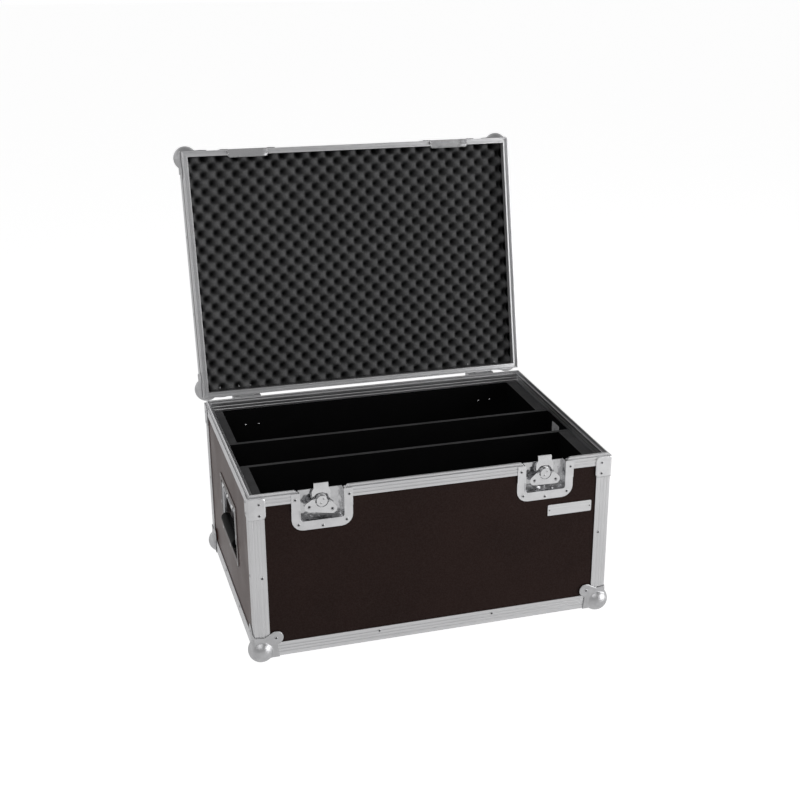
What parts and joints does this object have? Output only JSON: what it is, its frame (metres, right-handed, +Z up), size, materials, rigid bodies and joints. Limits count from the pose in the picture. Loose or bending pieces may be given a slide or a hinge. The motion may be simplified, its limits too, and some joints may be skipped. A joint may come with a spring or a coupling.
{
  "type": "flight case",
  "caption": "Open flight case with egg-crate foam lid, aluminium edges, ball corners, butterfly latches, side handles and a divided inside.",
  "frame": {"origin": "on the floor, under the middle of the whole box with the lid open", "axes": "+Z up, -Y to the front where the latches are, +X to the right seen from the front"},
  "size_m": [0.724, 0.698, 0.8401],
  "materials": {
    "laminate": "phenolic film on plywood, satin",
    "lining": "thin dark felt on board, matt",
    "aluminium": "mill finish, ribbed, satin",
    "zinc_steel": "bright zinc plate",
    "grip": "smooth black, matt",
    "foam": "open-cell foam, matt"
  },
  "bodies": {
    "case": {"front_panel": "laminate", "back_panel": "laminate", "left_panel": "laminate", "right_panel": "laminate", "bottom_panel": "laminate", "edge_front_left": "aluminium", "edge_front_right": "aluminium", "edge_back_left": "aluminium", "edge_back_right": "aluminium", "bottom_edge_frame": "aluminium", "base_rim": "aluminium", "base_rim_front_middle": "aluminium", "foot_corner_front_left": "zinc_steel", "foot_corner_front_right": "zinc_steel", "foot_corner_back_left": "zinc_steel", "foot_corner_back_right": "zinc_steel", "corner_brace_front_left": "zinc_steel", "corner_brace_front_right": "zinc_steel", "corner_brace_back_left": "zinc_steel", "corner_brace_back_right": "zinc_steel", "front_divider": "lining", "rear_divider": "lining", "lining_front_left": "lining", "lining_rear_left": "lining", "lining_front_right": "lining", "lining_rear_right": "lining", "nameplate": "aluminium", "eye_plate_right": "zinc_steel", "latch_dish_left": "zinc_steel", "latch_dish_right": "zinc_steel", "handle_dish_left": "zinc_steel", "handle_dish_right": "zinc_steel", "hinge_case_leaf_left": "zinc_steel", "hinge_case_leaf_right": "zinc_steel", "hinge_pin_left": "zinc_steel", "hinge_pin_right": "zinc_steel"},
    "lid": {"lid_top_panel": "laminate", "lid_wall_frame": "laminate", "lid_edge_frame": "aluminium", "lid_rim": "aluminium", "lid_rim_front_middle": "aluminium", "lid_corner_front_left": "zinc_steel", "lid_corner_front_right": "zinc_steel", "lid_corner_back_left": "zinc_steel", "lid_corner_back_right": "zinc_steel", "lid_foam": "foam", "lid_catch_left": "zinc_steel", "lid_catch_right": "zinc_steel", "hinge_lid_leaf_left": "zinc_steel", "hinge_lid_leaf_right": "zinc_steel"},
    "latch_cam_left": {"latch_cam_left": "zinc_steel"},
    "latch_wing_left": {"latch_wing_left": "zinc_steel"},
    "latch_claw_left": {"latch_claw_left": "zinc_steel"},
    "handle_left": {"handle_bail_left": "zinc_steel", "handle_grip_left": "grip"},
    "latch_cam_right": {"latch_cam_right": "zinc_steel"},
    "latch_wing_right": {"latch_wing_right": "zinc_steel"},
    "latch_claw_right": {"latch_claw_right": "zinc_steel"},
    "handle_right": {"handle_bail_right": "zinc_steel", "handle_grip_right": "grip"}
  },
  "joints": [
    {"name": "lid_hinge", "type": "hinge", "parent": "case", "child": "lid", "pos_m": [0, 0.17446, 0.33748], "axis": [1, 0, 0], "range_deg": [0, 102]},
    {"name": "latch_twist_left", "type": "hinge", "parent": "case", "child": "latch_cam_left", "pos_m": [-0.216, -0.33704, 0.31608], "axis": [0, 1, 0], "range_deg": [0, 180]},
    {"name": "latch_wing_fold_left", "type": "hinge", "parent": "latch_cam_left", "child": "latch_wing_left", "pos_m": [-0.21564, -0.33464, 0.31805], "axis": [-0.9836, 0, 0.1805], "range_deg": [0, 90]},
    {"name": "latch_claw_slide_left", "type": "slide", "parent": "case", "child": "latch_claw_left", "axis": [0, 0.4961, -0.8682], "range_m": [0, 0.00807]},
    {"name": "handle_swing_left", "type": "hinge", "parent": "case", "child": "handle_left", "pos_m": [-0.3455, -0.08454, 0.23148], "axis": [0, 1, 0], "range_deg": [0, 90], "stiffness_Nm_per_rad": 0.3, "springref_deg": -20.05},
    {"name": "latch_twist_right", "type": "hinge", "parent": "case", "child": "latch_cam_right", "pos_m": [0.216, -0.33704, 0.31608], "axis": [0, 1, 0], "range_deg": [0, 180]},
    {"name": "latch_wing_fold_right", "type": "hinge", "parent": "latch_cam_right", "child": "latch_wing_right", "pos_m": [0.21606, -0.33464, 0.31808], "axis": [-0.9996, 0, 0.0279], "range_deg": [0, 90]},
    {"name": "latch_claw_slide_right", "type": "slide", "parent": "case", "child": "latch_claw_right", "axis": [0, 0.4961, -0.8682], "range_m": [0, 0.00807]},
    {"name": "handle_swing_right", "type": "hinge", "parent": "case", "child": "handle_right", "pos_m": [0.3455, -0.08454, 0.23148], "axis": [0, -1, 0], "range_deg": [0, 90], "stiffness_Nm_per_rad": 0.3, "springref_deg": -20.05}
  ],
  "couplings": [
    {"joint": "latch_claw_slide_left", "follows": "latch_twist_left", "m_per_rad": 0.0025663},
    {"joint": "latch_claw_slide_right", "follows": "latch_twist_right", "m_per_rad": 0.0025663}
  ]
}
